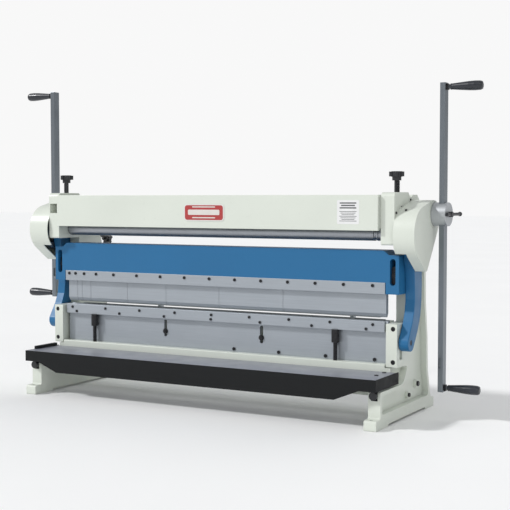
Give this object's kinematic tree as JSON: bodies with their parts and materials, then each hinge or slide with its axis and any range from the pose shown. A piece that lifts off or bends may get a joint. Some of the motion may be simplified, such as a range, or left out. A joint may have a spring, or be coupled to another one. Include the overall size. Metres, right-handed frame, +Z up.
{
  "type": "sheet metal shear, brake and slip roll machine",
  "caption": "Hand-cranked bench machine with side castings, cream and blue paint, sliding ram with brake fingers and shear blade, bending rolls on top, and bar cranks at both ends.",
  "frame": {"origin": "centre of the footprint on the bench plane, under the machine", "axes": "+X runs along the bed towards the longer crank, -Y is the operator's side, +Z is up"},
  "size_m": [1.898, 0.532, 1.163],
  "materials": {
    "cream_paint": "pale greenish-white semi-gloss machine enamel on castings",
    "blue_paint": "mid-blue semi-gloss enamel on the moving ram and arms",
    "black_paint": "satin black paint on folded sheet",
    "tray_paint": "lilac-grey satin paint, lightly scuffed",
    "ground_steel": "ground tool steel with fine lengthwise grain",
    "roll_steel": "turned and polished steel rolls",
    "gear_steel": "machined steel, lightly oiled",
    "bar_steel": "bright drawn flat bar",
    "zinc": "bright zinc-plated turned hub",
    "spring_steel": "dark spring wire",
    "bronze": "plain bronze bearings",
    "black_oxide": "black oxide fasteners",
    "clamp_screw_black": "blackened clamp screws with sliding bars",
    "black_plastic": "moulded black knobs",
    "grip_plastic": "turned black handle grips"
  },
  "bodies": {
    "machine": {"left_frame": "cream_paint", "right_frame": "cream_paint", "left_roll_housing": "cream_paint", "right_roll_housing": "cream_paint", "bed_casting": "cream_paint", "bed_face_plate": "ground_steel", "die_bar": "ground_steel", "lower_shear_blade": "ground_steel", "bed_end_plates": "cream_paint", "bed_bolts": "black_oxide", "die_bar_screws": "black_oxide", "die_jack_screws": "black_oxide", "tray_plate": "tray_paint", "tray_apron": "black_paint", "side_gauge": "black_paint", "tray_knobs": "black_plastic", "roll_cover": "cream_paint", "left_gear_cover": "cream_paint", "right_gear_cover": "cream_paint", "cover_screws": "black_oxide", "rear_stretchers": "cream_paint", "stretcher_bolts": "black_oxide", "back_gauge_rods": "ground_steel", "shaft_bushes": "bronze", "ram_guide_bolts": "black_oxide"},
    "ram": {"ram_beam": "blue_paint", "punch_clamp_bar": "ground_steel", "brake_fingers": "ground_steel", "clamp_screws": "black_oxide", "upper_shear_blade": "ground_steel", "left_arm": "blue_paint", "right_arm": "blue_paint", "arm_guide_pins": "black_oxide", "hold_down_bolts": "ground_steel", "hold_down_springs": "spring_steel"},
    "hold_down": {"hold_down_bar": "cream_paint"},
    "lower_roll_shaft": {"lower_roll": "roll_steel", "drive_wheels": "gear_steel", "crank_pins": "gear_steel"},
    "upper_roll_carrier": {"upper_roll_blocks": "bronze"},
    "upper_roll": {"upper_roll": "roll_steel"},
    "left_pinch_screw": {"left_pinch_knob": "black_plastic"},
    "right_pinch_screw": {"right_pinch_knob": "black_plastic"},
    "rear_roll_carrier": {"rear_roll_blocks": "bronze"},
    "rear_roll": {"rear_roll": "roll_steel"},
    "left_rear_screw": {"left_rear_knob": "black_plastic"},
    "right_rear_screw": {"right_rear_knob": "black_plastic"},
    "left_crank": {"left_crank_hub": "zinc", "left_pinion": "gear_steel"},
    "right_crank": {"right_crank_hub": "zinc", "right_pinion": "gear_steel"},
    "left_handle_bar": {"left_crank_bar": "bar_steel"},
    "right_handle_bar": {"right_crank_bar": "bar_steel"},
    "left_upper_grip": {"left_upper_grip": "grip_plastic"},
    "left_lower_grip": {"left_lower_grip": "grip_plastic"},
    "right_upper_grip": {"right_upper_grip": "grip_plastic"},
    "right_lower_grip": {"right_lower_grip": "grip_plastic"},
    "left_clamp": {"left_clamp_screw": "clamp_screw_black"},
    "right_clamp": {"right_clamp_screw": "clamp_screw_black"},
    "back_gauge": {"back_gauge_bar": "ground_steel"}
  },
  "joints": [
    {"name": "right_crank_turn", "type": "hinge", "parent": "machine", "child": "right_crank", "pos_m": [0.75, 0.04879, 0.68386], "axis": [1, 0, 0], "range_deg": [0, 283.6]},
    {"name": "left_crank_turn", "type": "hinge", "parent": "machine", "child": "left_crank", "pos_m": [-0.75, 0.04879, 0.68386], "axis": [1, 0, 0], "range_deg": [0, 283.6]},
    {"name": "lower_roll_turn", "type": "hinge", "parent": "machine", "child": "lower_roll_shaft", "pos_m": [0, -0.042, 0.62], "axis": [1, 0, 0], "range_deg": [-120, 0]},
    {"name": "ram_slide", "type": "slide", "parent": "machine", "child": "ram", "axis": [0, 0, -1], "range_m": [0, 0.02425]},
    {"name": "hold_down_slide", "type": "slide", "parent": "ram", "child": "hold_down", "axis": [0, 0, 1], "range_m": [0, 0.01725], "deforming": ["hold_down_springs"]},
    {"name": "upper_roll_lift", "type": "slide", "parent": "machine", "child": "upper_roll_carrier", "axis": [0, 0, 1], "range_m": [0, 0.004]},
    {"name": "upper_roll_turn", "type": "hinge", "parent": "upper_roll_carrier", "child": "upper_roll", "pos_m": [0, -0.042, 0.671], "axis": [1, 0, 0], "range_deg": [0, 120]},
    {"name": "right_pinch_turn", "type": "hinge", "parent": "upper_roll_carrier", "child": "right_pinch_screw", "pos_m": [0.6885, -0.042, 0.796], "axis": [0, 0, 1], "range_deg": [0, 720]},
    {"name": "left_pinch_turn", "type": "hinge", "parent": "upper_roll_carrier", "child": "left_pinch_screw", "pos_m": [-0.6885, -0.042, 0.796], "axis": [0, 0, 1], "range_deg": [0, 720]},
    {"name": "rear_roll_slide", "type": "slide", "parent": "machine", "child": "rear_roll_carrier", "axis": [0, -0.9397, 0.342], "range_m": [0, 0.024]},
    {"name": "rear_roll_turn", "type": "hinge", "parent": "rear_roll_carrier", "child": "rear_roll", "pos_m": [0, 0.066, 0.622], "axis": [1, 0, 0], "continuous": true},
    {"name": "right_rear_turn", "type": "hinge", "parent": "rear_roll_carrier", "child": "right_rear_screw", "pos_m": [0.6805, 0.066, 0.622], "axis": [0, -0.9397, 0.342], "range_deg": [0, 2160]},
    {"name": "left_rear_turn", "type": "hinge", "parent": "rear_roll_carrier", "child": "left_rear_screw", "pos_m": [-0.6805, 0.066, 0.622], "axis": [0, -0.9397, 0.342], "range_deg": [0, 2160]},
    {"name": "right_bar_slide", "type": "slide", "parent": "right_crank", "child": "right_handle_bar", "axis": [0, 0, 1], "range_m": [-0.06, 0.2]},
    {"name": "left_bar_slide", "type": "slide", "parent": "left_crank", "child": "left_handle_bar", "axis": [0, 0, 1], "range_m": [-0.25, 0.15]},
    {"name": "right_upper_grip_spin", "type": "hinge", "parent": "right_handle_bar", "child": "right_upper_grip", "pos_m": [0.9, 0.04879, 1.104], "axis": [1, 0, 0], "continuous": true},
    {"name": "right_lower_grip_spin", "type": "hinge", "parent": "right_handle_bar", "child": "right_lower_grip", "pos_m": [0.9, 0.04879, 0.105], "axis": [1, 0, 0], "continuous": true},
    {"name": "right_clamp_turn", "type": "hinge", "parent": "right_crank", "child": "right_clamp", "pos_m": [0.84, 0.04879, 0.68386], "axis": [1, 0, 0], "range_deg": [-180, 0]},
    {"name": "left_upper_grip_spin", "type": "hinge", "parent": "left_handle_bar", "child": "left_upper_grip", "pos_m": [-0.9, 0.04879, 1.147], "axis": [1, 0, 0], "continuous": true},
    {"name": "left_lower_grip_spin", "type": "hinge", "parent": "left_handle_bar", "child": "left_lower_grip", "pos_m": [-0.9, 0.04879, 0.355], "axis": [1, 0, 0], "continuous": true},
    {"name": "left_clamp_turn", "type": "hinge", "parent": "left_crank", "child": "left_clamp", "pos_m": [-0.84, 0.04879, 0.68386], "axis": [1, 0, 0], "range_deg": [-180, 0]},
    {"name": "back_gauge_slide", "type": "slide", "parent": "machine", "child": "back_gauge", "axis": [0, 1, 0], "range_m": [-0.16, 0.02]}
  ],
  "couplings": [
    {"joint": "left_crank_turn", "follows": "right_crank_turn", "ratio": 1},
    {"joint": "lower_roll_turn", "follows": "right_crank_turn", "ratio": -0.42308},
    {"joint": "upper_roll_turn", "follows": "right_crank_turn", "ratio": 0.42308},
    {"joint": "ram_slide", "follows": "right_crank_turn", "m_per_rad": 0.0048972},
    {"joint": "hold_down_slide", "follows": "right_crank_turn", "m_per_rad": 0.003483},
    {"joint": "right_pinch_turn", "follows": "upper_roll_lift", "rad_per_m": 3141.6},
    {"joint": "left_pinch_turn", "follows": "upper_roll_lift", "rad_per_m": 3141.6},
    {"joint": "right_rear_turn", "follows": "rear_roll_slide", "rad_per_m": 1570.8},
    {"joint": "left_rear_turn", "follows": "rear_roll_slide", "rad_per_m": 1570.8}
  ]
}
